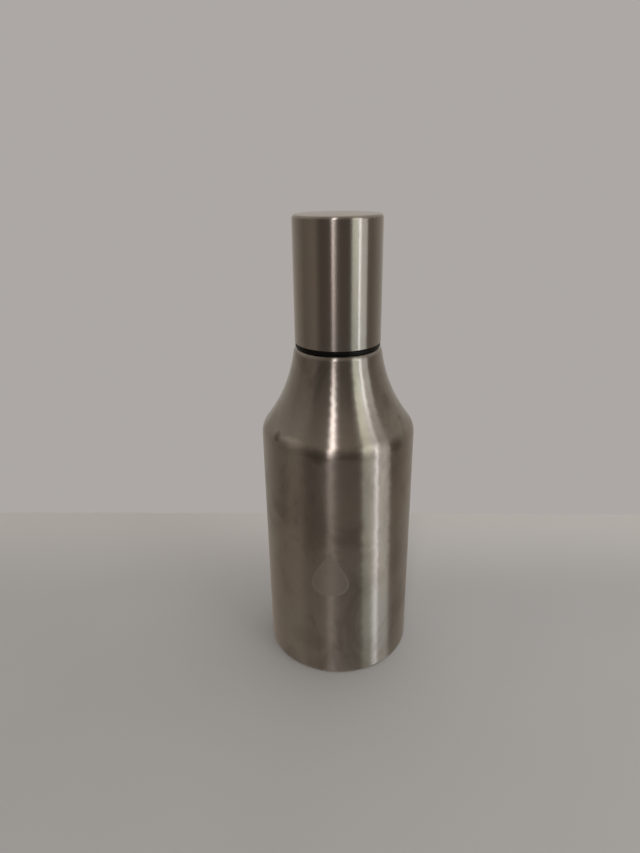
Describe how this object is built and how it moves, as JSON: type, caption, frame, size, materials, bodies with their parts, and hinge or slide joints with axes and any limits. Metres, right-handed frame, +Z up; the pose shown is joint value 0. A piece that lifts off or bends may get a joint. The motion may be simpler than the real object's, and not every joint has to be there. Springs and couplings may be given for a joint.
{
  "type": "insulated water bottle",
  "caption": "Double-walled brushed steel bottle with a hollow-swept neck, a push-button pouring stopper that screws into the neck, and a tall steel cup that screws over it.",
  "frame": {"origin": "centre of the base, on the surface that the bottle stands on", "axes": "+Z up along the bottle's axis, towards the cup; the bottle is round, and +X and +Y are square to it"},
  "size_m": [0.075, 0.075, 0.2243],
  "materials": {
    "brushed_steel": "stainless steel brushed round the axis, warm grey, smudged",
    "plain_steel": "plain stainless steel sheet",
    "spring_steel": "drawn wire",
    "foil": "bright foil",
    "glass_bead": "fused solder glass",
    "getter_metal": "pressed capsule",
    "black_plastic": "moulded polypropylene, fine satin",
    "button_plastic": "moulded polypropylene, satin, dark grey",
    "stem_plastic": "turned acetal",
    "silicone": "food-grade silicone, milky",
    "foam": "closed-cell foam"
  },
  "bodies": {
    "bottle": {"outer_shell": "brushed_steel", "outer_bottom": "plain_steel", "base_cover": "plain_steel", "vacuum_seal": "glass_bead", "getter": "getter_metal", "inner_liner": "plain_steel", "inner_bottom": "plain_steel", "reflective_foil": "foil"},
    "gasket": {"neck_gasket": "silicone"},
    "stopper": {"stopper_housing": "black_plastic", "stopper_base": "black_plastic", "valve_guide": "black_plastic", "stopper_insulation": "foam", "button_seal_ring": "silicone", "button_bezel": "black_plastic", "button_spring": "spring_steel"},
    "button": {"push_button": "button_plastic", "valve_stem": "stem_plastic", "valve_head": "black_plastic", "valve_seal": "silicone"},
    "cup_ring": {"cup_seal_ring": "silicone"},
    "cup": {"cup_shell": "brushed_steel", "cup_liner": "black_plastic"}
  },
  "joints": [
    {"name": "stopper_lift", "type": "slide", "parent": "bottle", "child": "gasket", "axis": [0, 0, 1], "range_m": [0, 0.024]},
    {"name": "stopper_turn", "type": "hinge", "parent": "gasket", "child": "stopper", "pos_m": [0, 0, 0.16551], "axis": [0, 0, 1], "range_deg": [0, 1080]},
    {"name": "button_press", "type": "slide", "parent": "stopper", "child": "button", "axis": [0, 0, -1], "range_m": [0, 0.004], "stiffness_N_per_m": 900, "springref_m": -0.004, "deforming": ["button_spring"]},
    {"name": "cup_lift", "type": "slide", "parent": "stopper", "child": "cup_ring", "axis": [0, 0, 1], "range_m": [0, 0.03]},
    {"name": "cup_turn", "type": "hinge", "parent": "cup_ring", "child": "cup", "pos_m": [0, 0, 0.16776], "axis": [0, 0, 1], "range_deg": [0, 1080]}
  ],
  "couplings": [
    {"joint": "stopper_turn", "follows": "stopper_lift", "rad_per_m": 785.4},
    {"joint": "cup_turn", "follows": "cup_lift", "rad_per_m": 628.32}
  ]
}
